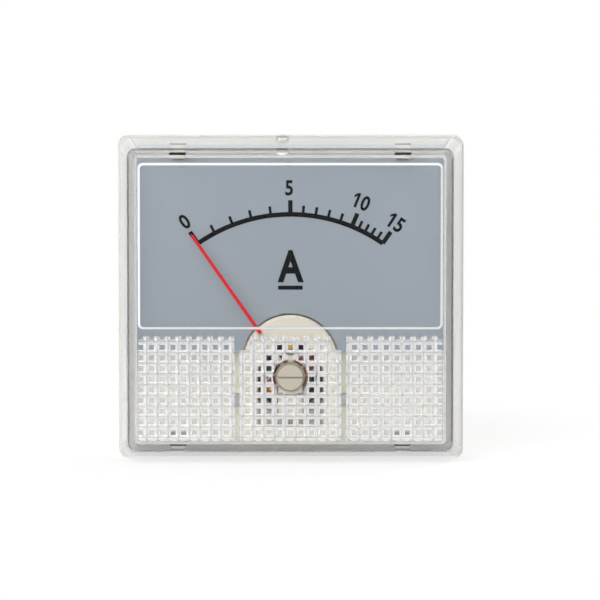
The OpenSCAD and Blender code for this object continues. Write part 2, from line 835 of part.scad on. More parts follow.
// Two pins on the shroud that the pointer meets just past each end of the scale
module pointer_stops() color([0.85, 0.85, 0.83]) {
  stop_r = 0.35;
  reach = 7.4;
  past = 3 + asin((stop_r + pointer_w / 2) / reach);
  at_pivot()
    for (side = [-1, 1])
      rotate([0, side * (half_sweep + past), 0]) translate([0, 0, reach])
        bar(pointer_y - pointer_t - 0.3, shroud_y, stop_r);
}

// ---- Shunt, leads and terminals ----

module shunt_bar() color([0.72, 0.6, 0.5]) {
  strip_w = 5;
  cut_w = 0.8;
  half_strip = terminal_gap / 2 - bolt_r - 0.6;
  difference() {
    union() {
      both_sides() translate([terminal_gap / 2, 0, 0]) bar(lug_y, lug_y + lug_t, terminal_boss_r);
      translate([-half_strip, lug_y, -strip_w / 2]) cube([2 * half_strip, lug_t, strip_w]);
    }
    both_sides() translate([terminal_gap / 2, 0, 0])
      bar(lug_y - cut, lug_y + lug_t + cut, bolt_r + fit_gap);
    // saw cuts from alternate edges trim the shunt's resistance
    for (x = [-3, 0, 3])
      translate([x - cut_w / 2, lug_y - cut, x == 0 ? 0.4 : -strip_w / 2 - cut])
        cube([cut_w, lug_t + 2 * cut, strip_w / 2 + cut - 0.4]);
  }
}

// A wire along a cubic curve through the control points p, as a closed tube of eight sides
function curve(p, t) = pow(1 - t, 3) * p[0] + 3 * t * pow(1 - t, 2) * p[1]
  + 3 * t * t * (1 - t) * p[2] + pow(t, 3) * p[3];
function heading(p, t) = let (d = curve(p, min(t + 0.01, 1)) - curve(p, max(t - 0.01, 0))) d / norm(d);

module wire(p, r) {
  rings = 18;
  sides = 8;
  points = [for (i = [0:rings]) let (
      t = i / rings, d = heading(p, t), u = cross(d, [1, 0, 0]) / norm(cross(d, [1, 0, 0])), v = cross(d, u))
    for (s = [0:sides - 1]) curve(p, t) + r * (cos(360 * s / sides) * u + sin(360 * s / sides) * v)];
  walls = [for (i = [0:rings - 1]) for (s = [0:sides - 1])
    let (a = i * sides + s, b = i * sides + (s + 1) % sides) [a, b, b + sides, a + sides]];
  ends = [[for (s = [sides - 1:-1:0]) s], [for (s = [0:sides - 1]) rings * sides + s]];
  polyhedron(points, concat(walls, ends), convexity = 4);
}

module positive_lead() color([0.75, 0.15, 0.12]) {
  start = [0, rear_bridge_y + bridge_t + 0.02, -pivot_drop - foot_z + 1.6];
  end = [lead_x, lead_end_y, lead_z];
  wire([start, start + [0, 7, 0], end - [0, 8, 0], end], lead_r);
}

module negative_lead() color([0.12, 0.12, 0.13]) {
  start = [-(yoke_bore_r + yoke_r) / 2, core_back_y + 0.02, -pivot_drop];
  end = [-lead_x, lead_end_y, lead_z];
  wire([start, start + [0, 9, 0], end - [0, 9, 0], end], lead_r);
}

module terminal_bolt() {
  tip = 0.5;
  hex_bar(lug_y - bolt_head_t, lug_y, bolt_head_af);
  bar(lug_y, shank_end_y, bolt_r);
  bar(shank_end_y, shank_end_y + neck_len, bolt_r - 0.3);
  bar(shank_end_y + neck_len, shank_end_y + neck_len + bolt_free, thread_r);
  bar(shank_end_y + neck_len + bolt_free, shank_end_y + neck_len + bolt_free + tip, thread_r, thread_r - tip);
}

// The positive terminal lies on the left as seen from the back
module positive_terminal() color([0.83, 0.7, 0.36]) {
  translate([terminal_gap / 2, 0, 0]) terminal_bolt();
}

module negative_terminal() color([0.83, 0.7, 0.36]) {
  translate([-terminal_gap / 2, 0, 0]) terminal_bolt();
}

module terminal_washers() color([0.83, 0.7, 0.36]) {
  both_sides() translate([terminal_gap / 2, 0, 0]) difference() {
    bar(washer_y, spring_washer_y, washer_r);
    bar(washer_y - cut, spring_washer_y + cut, bolt_r + fit_gap);
  }
}

module terminal_spring_washers() color([0.6, 0.61, 0.62]) {
  split = 0.5;
  both_sides() translate([terminal_gap / 2, 0, 0]) difference() {
    bar(spring_washer_y, nut_y, spring_washer_r);
    bar(spring_washer_y - cut, nut_y + cut, bolt_r + 0.1);
    rotate([0, 60, 0]) translate([0, spring_washer_y - cut, -split / 2]) rotate([12, 0, 0])
      cube([spring_washer_r + cut, spring_washer_t + 3 * cut, split]);
  }
}

module terminal_nuts() color([0.83, 0.7, 0.36]) {
  both_sides() translate([terminal_gap / 2, 0, 0]) difference() {
    intersection() {
      hex_bar(nut_y, nut_y + nut_t, bolt_head_af);
      union() {
        bar(nut_y, nut_y + 0.5, bolt_head_af / 2 + 0.05, bolt_head_af / 2 + 0.55);
        bar(nut_y + 0.5, nut_y + nut_t - 0.5, bolt_head_af);
        bar(nut_y + nut_t - 0.5, nut_y + nut_t, bolt_head_af / 2 + 0.55, bolt_head_af / 2 + 0.05);
      }
    }
    bar(nut_y - cut, nut_y + nut_t + cut, bolt_r + fit_gap);
  }
}

front_cover();
dial_plate();
scale_marks();
rear_case();
movement_frame();
movement_shroud();
frame_screws();
yoke_ring();
core_magnet();
core_keys();
front_bridge();
rear_bridge();
front_jewel_screw();
rear_jewel_screw();
pointer();
balance_weights();
pointer_hub();
moving_coil();
coil_former();
front_staff();
rear_staff();
spring_collets();
front_hairspring();
rear_hairspring();
rear_spring_stud();
zero_lever();
zero_adjuster();
pointer_stops();
shunt_bar();
positive_lead();
negative_lead();
positive_terminal();
negative_terminal();
terminal_washers();
terminal_spring_washers();
terminal_nuts();
mounting_studs();
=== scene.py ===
# Panel ammeter: a clear snap-on cover over a white dial, whose grey-blue is painted shade, a red
# pointer, an ivory movement and case, with brass terminals and plated studs behind. Metres; +Z is
# up and the dial faces -Y.
import json
import math

import bmesh
import bpy
from mathutils import Matrix, Vector


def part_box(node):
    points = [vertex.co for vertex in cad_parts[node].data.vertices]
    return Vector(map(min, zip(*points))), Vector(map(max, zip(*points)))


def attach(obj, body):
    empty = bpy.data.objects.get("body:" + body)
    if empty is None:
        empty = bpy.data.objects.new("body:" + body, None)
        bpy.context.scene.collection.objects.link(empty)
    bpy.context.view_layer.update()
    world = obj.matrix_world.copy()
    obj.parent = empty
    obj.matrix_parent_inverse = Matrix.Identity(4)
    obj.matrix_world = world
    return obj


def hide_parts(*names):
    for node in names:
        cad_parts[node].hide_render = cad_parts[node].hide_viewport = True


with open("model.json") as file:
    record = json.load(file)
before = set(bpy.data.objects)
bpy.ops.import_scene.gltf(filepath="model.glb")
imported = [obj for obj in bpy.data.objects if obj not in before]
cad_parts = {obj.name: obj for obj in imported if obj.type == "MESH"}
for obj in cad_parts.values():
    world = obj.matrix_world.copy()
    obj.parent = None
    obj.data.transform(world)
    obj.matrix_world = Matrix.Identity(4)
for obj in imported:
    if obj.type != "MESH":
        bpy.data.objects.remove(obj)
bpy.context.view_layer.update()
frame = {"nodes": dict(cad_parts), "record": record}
MM = 0.001
PIVOT_Z = -14 * MM  # height of the axis that the pointer turns on


# ---- Camera, light and stage ----

def facing(way):
    """The turn that makes a camera or a lamp look along a direction."""
    return way.to_track_quat("-Z", "Y").to_euler()


def place_camera():
    """0.6 m off, square to the dial and a little above it."""
    target = Vector((1.76, 0, -0.74)) * MM
    elevation, distance = math.radians(3.45), 0.597
    seen_width = 111.3 * MM
    data = bpy.data.cameras.new("camera")
    data.sensor_width = 36
    data.lens = data.sensor_width * distance / seen_width
    data.clip_start = 0.01
    camera = bpy.data.objects.new("camera", data)
    away = Vector((0, -math.cos(elevation), math.sin(elevation)))
    camera.location = target + away * distance
    camera.rotation_euler = facing(-away)
    bpy.context.collection.objects.link(camera)
    bpy.context.scene.camera = camera


place_camera()
bpy.context.scene.view_settings.view_transform = "Standard"


def add(tree, kind, inputs=None, **settings):
    """Adds a node. Each input is a plain value, or the node or the output that feeds it."""
    node = tree.nodes.new(kind)
    for name, value in settings.items():
        setattr(node, name, value)
    for key, value in (inputs or {}).items():
        if isinstance(value, bpy.types.Node):
            value = value.outputs[0]
        if isinstance(value, bpy.types.NodeSocket):
            tree.links.new(value, node.inputs[key])
        else:
            node.inputs[key].default_value = value
    return node


def linear_colour(hex_colour):
    """An sRGB hex colour as linear red, green, blue and full alpha."""
    channels = [int(hex_colour[i:i + 2], 16) / 255 for i in (1, 3, 5)]
    linear = [c / 12.92 if c <= 0.04045 else ((c + 0.055) / 1.055) ** 2.4 for c in channels]
    return (*linear, 1.0)


WHITE = (1, 1, 1, 1)


def light_the_scene():
    """A white surround that metal and clear plastic show, with a lower level on matt surfaces."""
    world = bpy.data.worlds.new("white surround")
    world.use_nodes = True
    tree = world.node_tree
    tree.nodes.clear()
    path = add(tree, "ShaderNodeLightPath").outputs
    seen = add(tree, "ShaderNodeMath", {0: path["Is Camera Ray"], 1: path["Is Transmission Ray"]},
               operation="MAXIMUM")
    level = add(tree, "ShaderNodeMapRange", {"Value": seen, "To Min": 0.7, "To Max": 1.0})
    # the room that the dial faces is dim round the middle, and only reflections show it
    dim, middle, edge = 0.12, -0.97, -0.75
    way = add(tree, "ShaderNodeTexCoord").outputs["Generated"]
    depth = add(tree, "ShaderNodeSeparateXYZ", {0: way}).outputs["Y"]
    room = add(tree, "ShaderNodeMapRange",
               {"Value": depth, "From Min": middle, "From Max": edge, "To Min": dim, "To Max": 1.0},
               interpolation_type="SMOOTHSTEP")
    mirror = add(tree, "ShaderNodeMath", {0: path["Is Glossy Ray"], 1: path["Is Transmission Ray"]},
                 operation="SUBTRACT", use_clamp=True)
    strength = add(tree, "ShaderNodeMix", {0: mirror, 2: level, 3: room}, data_type="FLOAT")
    sky = add(tree, "ShaderNodeBackground", {"Color": WHITE, "Strength": strength})
    add(tree, "ShaderNodeOutputWorld", {"Surface": sky})
    bpy.context.scene.world = world
    # light runs a long way inside the clear walls before it leaves them
    bounces = 32
    bpy.context.scene.cycles.max_bounces = bounces
    bpy.context.scene.cycles.transmission_bounces = bounces
    # each lamp's name, place, width and watts
    lamps = (("key", (-0.35, -0.75, 0.55), 0.55, 6.0), ("rear", (0.5, 0.7, 0.6), 0.6, 2.5))
    for name, place, size, watts in lamps:
        data = bpy.data.lights.new(name, "AREA")
        data.shape = "DISK"
        data.size = size
        data.energy = watts
        lamp = bpy.data.objects.new(name, data)
        lamp.location = place
        lamp.rotation_euler = facing(-Vector(place))
        bpy.context.collection.objects.link(lamp)


def lay_floor(height):
    """A white floor that fades out away from the meter, so that only its shadow shows."""
    radius, fade_from, fade_to = 0.2, 0.09, 0.17
    own_light = 0.7  # the share of the floor's white that doesn't dim in shadow
    material, tree, place = new_material("white floor")
    flat = add(tree, "ShaderNodeVectorMath", {0: place, 1: (1, 1, 0)}, operation="MULTIPLY")
    away = add(tree, "ShaderNodeVectorMath", {0: flat}, operation="LENGTH").outputs["Value"]
    fade = add(tree, "ShaderNodeMapRange",
               {"Value": away, "From Min": fade_from, "From Max": fade_to},
               interpolation_type="SMOOTHSTEP")
    matt = add(tree, "ShaderNodeBsdfDiffuse", {"Color": WHITE})
    white = add(tree, "ShaderNodeEmission", {"Color": WHITE, "Strength": 1.0})
    pale = add(tree, "ShaderNodeMixShader", {0: own_light, 1: matt, 2: white})
    clear = add(tree, "ShaderNodeBsdfTransparent")
    both = add(tree, "ShaderNodeMixShader", {0: fade, 1: pale, 2: clear})
    add(tree, "ShaderNodeOutputMaterial", {"Surface": both})
    bm = bmesh.new()
    bmesh.ops.create_circle(bm, cap_ends=True, segments=96, radius=radius)
    floor = piece_from(bm, "floor", material)
    floor.data.transform(Matrix.Translation((0, 0, height)))


# ---- Making pieces ----

def unique(items):
    """The items once each, as they come, because a set's order changes from run to run."""
    return list(dict.fromkeys(items))


def settle_faces(bm):
    """Puts the faces in the order of their corners, because spin shuffles them in each run."""
    bm.verts.index_update()
    count = len(bm.verts)

    def rank(face):
        first, second, third = sorted(v.index for v in face.verts)[:3]
        return (first * count + second) * count + third

    bm.faces.sort(key=rank)


def piece_from(bm, name, material, smooth_angle=None):
    """Turns a finished bmesh into an object; edges below smooth_angle degrees are shaded smooth."""
    mesh = bpy.data.meshes.new(name)
    if smooth_angle is not None:
        limit = math.radians(smooth_angle)
        for face in bm.faces:
            face.smooth = True
        for edge in bm.edges:
            edge.smooth = len(edge.link_faces) == 2 and edge.calc_face_angle(0) < limit
    bm.to_mesh(mesh)
    bm.free()
    mesh.materials.append(material)
    piece = bpy.data.objects.new(name, mesh)
    bpy.context.collection.objects.link(piece)
    return piece


def fit(piece, body, slot, *replaced):
    """Hangs a piece on what it rides on and hides the CAD nodes that it stands for; the slot is not
    used.
    """
    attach(piece, body)
    if replaced:
        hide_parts(*replaced)


# ---- Materials ----

# the sockets of a Mix node that blends two colours
COLOUR_A, COLOUR_B, COLOUR_OUT = 6, 7, 2


def new_material(name):
    """A material with an empty node tree, and the place of each point in metres."""
    material = bpy.data.materials.new(name)
    material.use_nodes = True
    tree = material.node_tree
    tree.nodes.clear()
    return material, tree, add(tree, "ShaderNodeTexCoord").outputs["Object"]


def per_metre(size_mm):
    """The texture scale that gives spots of this size."""
    return 1 / (size_mm * MM)


def plain_finish(tree, tone, colours, grain, rough, depth_mm, sockets):
    """Colour between two shades by the tone pattern; roughness and relief by the grain.

    The sockets hold what is the same all over the surface.
    """
    dark, light = (linear_colour(colour) for colour in colours)
    colour = add(tree, "ShaderNodeMix", {0: tone, COLOUR_A: dark, COLOUR_B: light},
                 data_type="RGBA")
    polish = add(tree, "ShaderNodeMapRange",
                 {"Value": grain, "To Min": rough[0], "To Max": rough[1]})
    relief = add(tree, "ShaderNodeBump",
                 {"Height": grain, "Distance": depth_mm * MM, "Strength": 1.0})
    shader = add(tree, "ShaderNodeBsdfPrincipled",
                 {"Base Color": colour.outputs[COLOUR_OUT], "Roughness": polish,
                  "Normal": relief, **sockets})
    add(tree, "ShaderNodeOutputMaterial", {"Surface": shader})


def moulded_plastic(name, colours, rough, grain_mm=0.3, depth_mm=0.006):
    """Moulded or extruded plastic: an even colour with faint flow clouds and a fine grit."""
    cloud_mm = 9
    material, tree, place = new_material(name)
    clouds = add(tree, "ShaderNodeTexNoise",
                 {"Vector": place, "Scale": per_metre(cloud_mm), "Detail": 2})
    grit = add(tree, "ShaderNodeTexNoise",
               {"Vector": place, "Scale": per_metre(grain_mm), "Detail": 3})
    plain_finish(tree, clouds, colours, grit, rough, depth_mm, {"IOR": 1.53})
    return material


def worked_metal(name, colours, rough, grain_mm=0.3, stretch=(1, 1, 1), depth_mm=0.004):
    """Metal with the marks of its making: the grain is stretched the way that it was worked."""
    stain_mm = 5
    material, tree, place = new_material(name)
    along = add(tree, "ShaderNodeMapping", {"Vector": place, "Scale": stretch})
    marks = add(tree, "ShaderNodeTexNoise",
                {"Vector": along, "Scale": per_metre(grain_mm), "Detail": 4})
    stain = add(tree, "ShaderNodeTexNoise",
                {"Vector": place, "Scale": per_metre(stain_mm), "Detail": 2})
    plain_finish(tree, stain, colours, marks, rough, depth_mm, {"Metallic": 1.0})
    return material


def printed_dial(name, colours, rough, shine):
    """Stove enamel or ink on sheet aluminium: flat, satin, with a very fine orange peel."""
    peel_mm, depth_mm = 0.35, 0.003
    material, tree, place = new_material(name)
    peel = add(tree, "ShaderNodeTexNoise",
               {"Vector": place, "Scale": per_metre(peel_mm), "Detail": 2})
    plain_finish(tree, peel, colours, peel, rough, depth_mm, {"Specular IOR Level": shine})
    return material


def clear_polystyrene():
    """Injection-moulded clear polystyrene: bright and glassy, with a faint waviness from the mould.

    The step round the window pad and the foot of the rim keep the mould's fine blast and scatter
    light. The grooves of the grid and the bevel round the inner face are satin.
    """
    pad_rise, wall = 0.5 * MM, 1.8 * MM  # the window pad's height, and the wall behind the face
    step_reach, foot = 0.22 * MM, 0.25 * MM  # half the blasted step, and the blasted foot
    groove, bevel = 0.27 * MM, 0.25 * MM  # from the inner face to the middle of each
    half_band = 0.24 * MM
    grid_top, side_wall = -6 * MM, 3 * MM
    wave_mm, wave_depth_mm = 6, 0.004
    blasted_clear = 0.25  # the share of light that a blasted surface still lets through
    bevel_matt, groove_matt, blasted_matt = 0.55, 0.3, 0.5

    material, tree, place = new_material("clear moulded polystyrene")
    at = add(tree, "ShaderNodeSeparateXYZ", {0: place}).outputs
    span = add(tree, "ShaderNodeVectorMath", {0: place}, operation="ABSOLUTE")
    span = add(tree, "ShaderNodeSeparateXYZ", {0: span}).outputs
    (_, pad_y, _), (half_w, rim_y, half_h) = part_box("front_cover")
    face_y = pad_y + pad_rise
    inner_y = face_y + wall

    bands = (((pad_y + face_y) / 2, step_reach), (inner_y - groove, half_band),
             (inner_y + bevel, half_band))
    at_step, at_groove, at_bevel = (
        add(tree, "ShaderNodeMath", {0: at["Y"], 1: middle, 2: reach}, operation="COMPARE")
        for middle, reach in bands)
    rim_foot = add(tree, "ShaderNodeMath", {0: at["Y"], 1: rim_y - foot}, operation="GREATER_THAN")
    blasted = add(tree, "ShaderNodeMath", {0: at_step, 1: rim_foot}, operation="MAXIMUM")
    limits = ((at["Z"], grid_top), (span["X"], half_w - side_wall), (span["Z"], half_h - side_wall))
    low_down, within_w, within_h = (
        add(tree, "ShaderNodeMath", {0: where, 1: limit}, operation="LESS_THAN")
        for where, limit in limits)
    in_groove = add(tree, "ShaderNodeMath", {0: at_groove, 1: low_down}, operation="MULTIPLY")
    within = add(tree, "ShaderNodeMath", {0: within_w, 1: within_h}, operation="MULTIPLY")
    on_bevel = add(tree, "ShaderNodeMath", {0: at_bevel, 1: within}, operation="MULTIPLY")

    wave = add(tree, "ShaderNodeTexNoise",
               {"Vector": place, "Scale": per_metre(wave_mm), "Detail": 1})
    rough = add(tree, "ShaderNodeMapRange", {"Value": wave, "To Min": 0.01, "To Max": 0.05})
    masks = ((on_bevel, bevel_matt), (in_groove, groove_matt), (blasted, blasted_matt))
    for mask, matt in masks:
        rough = add(tree, "ShaderNodeMath", {0: mask, 1: matt, 2: rough}, operation="MULTIPLY_ADD")
    clear = add(tree, "ShaderNodeMapRange",
                {"Value": blasted, "To Min": 1.0, "To Max": blasted_clear})
    relief = add(tree, "ShaderNodeBump",
                 {"Height": wave, "Distance": wave_depth_mm * MM, "Strength": 1.0})
    # the tint mirrors less straight on, so the print behind stays black, and in full at a glance
    shader = add(tree, "ShaderNodeBsdfPrincipled",
                 {"Base Color": linear_colour("#FFFFFF"), "IOR": 1.59,
                  "Specular Tint": (0.3, 0.3, 0.3, 1.0), "Transmission Weight": clear,
                  "Roughness": rough, "Normal": relief})
    add(tree, "ShaderNodeOutputMaterial", {"Surface": shader})
    return material


def pointer_paint():
    """Red spray paint on pressed aluminium: satin, with bare metal left next to the hub."""
    bare_reach, fade = 9.1 * MM, 0.5 * MM
    mist_mm, depth_mm = 0.25, 0.004
    material, tree, place = new_material("red sprayed aluminium")
    from_pivot = add(tree, "ShaderNodeVectorMath", {0: place, 1: (0, 0, -PIVOT_Z)},
                     operation="ADD")
    flat = add(tree, "ShaderNodeVectorMath", {0: from_pivot, 1: (1, 0, 1)}, operation="MULTIPLY")
    reach = add(tree, "ShaderNodeVectorMath", {0: flat}, operation="LENGTH").outputs["Value"]
    mist = add(tree, "ShaderNodeTexNoise",
               {"Vector": place, "Scale": per_metre(mist_mm), "Detail": 3})
    painted = add(tree, "ShaderNodeMapRange",
                  {"Value": reach, "From Min": bare_reach, "From Max": bare_reach + fade})
    red = add(tree, "ShaderNodeMix", {0: mist, COLOUR_A: linear_colour("#E00F20"),
                                      COLOUR_B: linear_colour("#F8162A")}, data_type="RGBA")
    coat = add(tree, "ShaderNodeMix", {0: painted, COLOUR_A: linear_colour("#C9CBCC"),
                                       COLOUR_B: red.outputs[COLOUR_OUT]}, data_type="RGBA")
    metal = add(tree, "ShaderNodeMapRange", {"Value": painted, "To Min": 1.0, "To Max": 0.0})
    polish = add(tree, "ShaderNodeMapRange", {"Value": mist, "To Min": 0.35, "To Max": 0.5})
    relief = add(tree, "ShaderNodeBump",
                 {"Height": mist, "Distance": depth_mm * MM, "Strength": 1.0})
    shader = add(tree, "ShaderNodeBsdfPrincipled",
                 {"Base Color": coat.outputs[COLOUR_OUT], "Metallic": metal, "Roughness": polish,
                  "Specular IOR Level": 0.2, "Normal": relief})
    add(tree, "ShaderNodeOutputMaterial", {"Surface": shader})
    return material


def wound_copper():
    """Layer-wound enamelled copper wire: close rounded turns, with painted shade darkening the gaps
    between them.

    The real wire is finer; its turns are drawn 0.32 mm apart, which is what still shows.
    """
    turn_mm, coil_turn = 0.32, math.radians(-35)
    own_pitch = 2 * math.pi / 20  # of a wave node's bands, at a scale of 1
    wave_scale = per_metre(turn_mm) * own_pitch
    material, tree, place = new_material("enamelled copper winding")
    pivot = add(tree, "ShaderNodeVectorMath", {0: place, 1: (0, 0, -PIVOT_Z)}, operation="ADD")
    turned = add(tree, "ShaderNodeVectorRotate", {"Vector": pivot, "Angle": coil_turn},
                 rotation_type="Y_AXIS")
    turns = add(tree, "ShaderNodeTexWave", {"Vector": turned, "Scale": wave_scale},
                wave_type="BANDS", bands_direction="Z", wave_profile="SIN").outputs["Fac"]
    # painted shade: the colour runs from copper on the turns to dark brown in the gaps between them
    colour = add(tree, "ShaderNodeMix", {0: turns, COLOUR_A: linear_colour("#4A1B0C"),
                                         COLOUR_B: linear_colour("#B4582C")}, data_type="RGBA")
    relief = add(tree, "ShaderNodeBump",
                 {"Height": turns, "Distance": turn_mm / 4 * MM, "Strength": 1.0})
    shader = add(tree, "ShaderNodeBsdfPrincipled",
                 {"Base Color": colour.outputs[COLOUR_OUT], "Metallic": 0.75, "Roughness": 0.3,
                  "Coat Weight": 0.5, "Normal": relief})
    add(tree, "ShaderNodeOutputMaterial", {"Surface": shader})
    return material


TURNED = (1, 6, 1)  # a lathe's fine rings lie close together along Y
FINISHES = {
    # glassy walls that show the white room
    "clear_polystyrene": clear_polystyrene(),
    # the white dial, painted a cool grey-blue as painted shade, with ink on it that hardly shines
    "dial_enamel": printed_dial("white stove enamel with painted grey-blue shade", ("#A3AEB8", "#AFB9C2"), (0.5, 0.6), 0.3),
    "dial_ink": printed_dial("black screen ink", ("#040405", "#08080A"), (0.6, 0.75), 0.0),
    # three pale mouldings, with one soft sheen: ivory, cream, and the adjuster's ivory painted a
    # darker beige-grey as painted shade
    "ivory_abs": moulded_plastic("ivory moulded ABS", ("#EBE9DE", "#F2F0E7"), (0.42, 0.6)),
    "shroud_abs": moulded_plastic("cream moulded ABS", ("#F8F1DE", "#FCF6E6"), (0.42, 0.6)),
    "adjuster_abs": moulded_plastic("ivory moulded ABS with painted shade", ("#AAA394", "#B4AD9E"), (0.4, 0.55),
                                    grain_mm=0.25),
    # pale grey, with the soft shine of plating
    "zinc_steel": worked_metal("zinc-plated steel", ("#A9ABAA", "#BFC2C4"), (0.28, 0.45)),
    # dark and dull, with the rings of the lathe
    "soft_iron": worked_metal("turned soft iron", ("#56575A", "#6A6B6E"), (0.4, 0.6),
                              grain_mm=0.2, stretch=TURNED),
    # nearly black, and duller still
    "magnet_alloy": worked_metal("ground magnet alloy", ("#3B3A3B", "#4C4A4A"), (0.45, 0.65),
                                 grain_mm=0.25),
    # a warm silver, brushed along the upright strip
    "bridge_nickel": worked_metal("nickel-plated brass strip", ("#C9C4B6", "#D8D4C8"),
                                  (0.3, 0.45), stretch=(4, 1, 0.5)),
    # yellow and bright, with the rings of the lathe
    "brass": worked_metal("turned brass", ("#B8924A", "#CDA95E"), (0.22, 0.4),
                          grain_mm=0.2, stretch=TURNED),
    # reddish gold, rolled fine
    "spring_bronze": worked_metal("phosphor bronze strip", ("#A86E32", "#C08A48"), (0.25, 0.4),
                                  grain_mm=0.2),
    # a dull brown, rolled lengthways
    "manganin": worked_metal("rolled manganin strip", ("#9A7458", "#AE8768"), (0.3, 0.5),
                             stretch=(0.3, 1, 3)),
    # the smooth skin of extruded wire insulation
    "red_pvc": moulded_plastic("red extruded PVC", ("#9E1D18", "#AE2820"), (0.35, 0.5),
                               grain_mm=0.5, depth_mm=0.004),
    "black_pvc": moulded_plastic("black extruded PVC", ("#161618", "#1F1F22"), (0.35, 0.5),
                                 grain_mm=0.5, depth_mm=0.004),
    # satin red out to the tip
    "pointer_paint": pointer_paint(),
    # bright and grey, as it comes from the press
    "bare_aluminium": worked_metal("pressed aluminium", ("#B9BBBE", "#CACCCF"), (0.28, 0.42),
                                   grain_mm=0.25),
    # copper turns, with painted shade in the gaps between them
    "enamelled_copper": wound_copper(),
    # almost a mirror
    "pivot_steel": worked_metal("polished pivot steel", ("#9C9EA2", "#ADAFB3"), (0.1, 0.2),
                                grain_mm=0.15, stretch=TURNED, depth_mm=0.001),
}


def finish_cad_nodes():
    """Gives every CAD node the finish that its record names."""
    slots = {part["node"]: part["material_slot"] for part in frame["record"]["subparts"]}
    for name, node in frame["nodes"].items():
        for holder in node.material_slots:
            holder.link = "OBJECT"
            holder.material = FINISHES[slots[name]]


finish_cad_nodes()


# ---- Print on the dial ----

dial_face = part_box("dial_plate")[0][1]
ink_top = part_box("scale_marks")[0][1]


def flag_the_one(bm, left):
    """Draws the slanting flag out of the top of a leading 1, which the type leaves a bare stem.

    Its lengths are shares of the type's size.
    """
    stroke, drop, reach = 0.15, 0.15, 0.17
    side = min(bm.faces, key=lambda face: face.calc_center_median().x)
    stem = unique(face for v in side.verts for edge in v.link_edges for face in edge.link_faces)
    top = max(v.co.y for v in side.verts)
    parts = (stem + unique(edge for face in stem for edge in face.edges)
             + unique(v for face in stem for v in face.verts))
    bmesh.ops.bisect_plane(bm, geom=parts, plane_co=(0, top - stroke, 0), plane_no=(0, 1, 0))
    upper = max((face for face in bm.faces if face.calc_center_median().x < left + 0.001),
                key=lambda face: face.calc_center_median().y)
    flag = bmesh.ops.extrude_discrete_faces(bm, faces=[upper])["faces"][0]
    bmesh.ops.translate(bm, verts=flag.verts, vec=(-reach, -drop, 0))


def printed_word(word, height_mm, width_factor, centre, turn, bold):
    """A word as a mesh of ink on the dial.

    height_mm is of its capitals, centre is the middle of its outline and turn is in degrees.
    """
    curve = bpy.data.curves.new(word, "FONT")
    curve.body = word
    curve.align_x = "CENTER"
    curve.size = 1
    curve.resolution_u = 6
    curve.offset = bold
    curve.extrude = 0.5  # to both sides, so the slab is one unit thick before it is scaled
    words = bpy.data.objects.new(word, curve)
    bpy.context.collection.objects.link(words)
    bpy.context.view_layer.update()
    mesh = bpy.data.meshes.new_from_object(words)
    bpy.data.objects.remove(words)
    xs = [v.co.x for v in mesh.vertices]
    ys = [v.co.y for v in mesh.vertices]
    scale = height_mm * MM / (max(ys) - min(ys))
    middle = Vector(((max(xs) + min(xs)) / 2, (max(ys) + min(ys)) / 2, 0))
    ink = dial_face - ink_top
    bm = bmesh.new()
    bm.from_mesh(mesh)
    bpy.data.meshes.remove(mesh)
    bmesh.ops.remove_doubles(bm, verts=bm.verts, dist=0.0001)
    if word[0] == "1":
        flag_the_one(bm, min(xs))
    shape = (Matrix.Translation((centre[0], (dial_face + ink_top) / 2, centre[1]))
             @ Matrix.Rotation(math.radians(turn), 4, "Y")
             @ Matrix.Rotation(math.radians(90), 4, "X")
             @ Matrix.Diagonal((scale * width_factor, scale, ink, 1))
             @ Matrix.Translation(-middle))
    bmesh.ops.transform(bm, matrix=shape, verts=bm.verts)
    return bm


def print_numbers():
    """The numbers stand outside the ticks; their tilt lags a little on the crowded side."""
    number_height, number_width, number_bold = 2.8, 0.85, 0.026
    letter_height, letter_width, letter_bold = 5.9, 0.8, 0.03
    letter_centre = (0.06 * MM, 5.93 * MM)
    # each word, its angle round the pivot, its own turn in degrees, and its radius in millimetres
    places = (("0", -34.55, -35, 34.1), ("5", -0.4, 0, 34.25), ("10", 22.7, 22, 34.25),
              ("15", 35.05, 33, 33.9))
    whole = bmesh.new()
    for word, angle, turn, radius in places:
        at = math.radians(angle)
        centre = (radius * MM * math.sin(at), PIVOT_Z + radius * MM * math.cos(at))
        part = printed_word(word, number_height, number_width, centre, turn, number_bold)
        step = bpy.data.meshes.new("step")
        part.to_mesh(step)
        part.free()
        whole.from_mesh(step)
        bpy.data.meshes.remove(step)
    letter = printed_word("A", letter_height, letter_width, letter_centre, 0, letter_bold)
    for bm, name in ((whole, "scale_numbers"), (letter, "unit_letter")):
        fit(piece_from(bm, name, FINISHES["dial_ink"]), "root", "dial_ink")


print_numbers()


# ---- Threaded hardware ----

# the rib of a thread, as shares of its pitch
RIB_HEIGHT, HALF_FOOT, HALF_CREST = 0.55, 0.44, 0.06
LIE_FLAT = Matrix.Rotation(math.pi / 2, 4, "X")  # brings what is made upright to lie along Y


def rod(bm, x, z, outline):
    """A turned bar along Y: outline lists (y, radius) from its front end to its back end."""
    sides = 48
    ends = []
    for y, radius in outline:
        ring = bmesh.ops.create_circle(bm, segments=sides, radius=radius,
                                       matrix=Matrix.Translation((x, y, z)) @ LIE_FLAT)
        loop = unique(edge for v in ring["verts"] for edge in v.link_edges)
        if ends:
            bmesh.ops.bridge_loops(bm, edges=ends[-1] + loop)
        ends.append(loop)
    for loop in (ends[0], ends[-1]):
        bmesh.ops.contextual_create(bm, geom=loop)


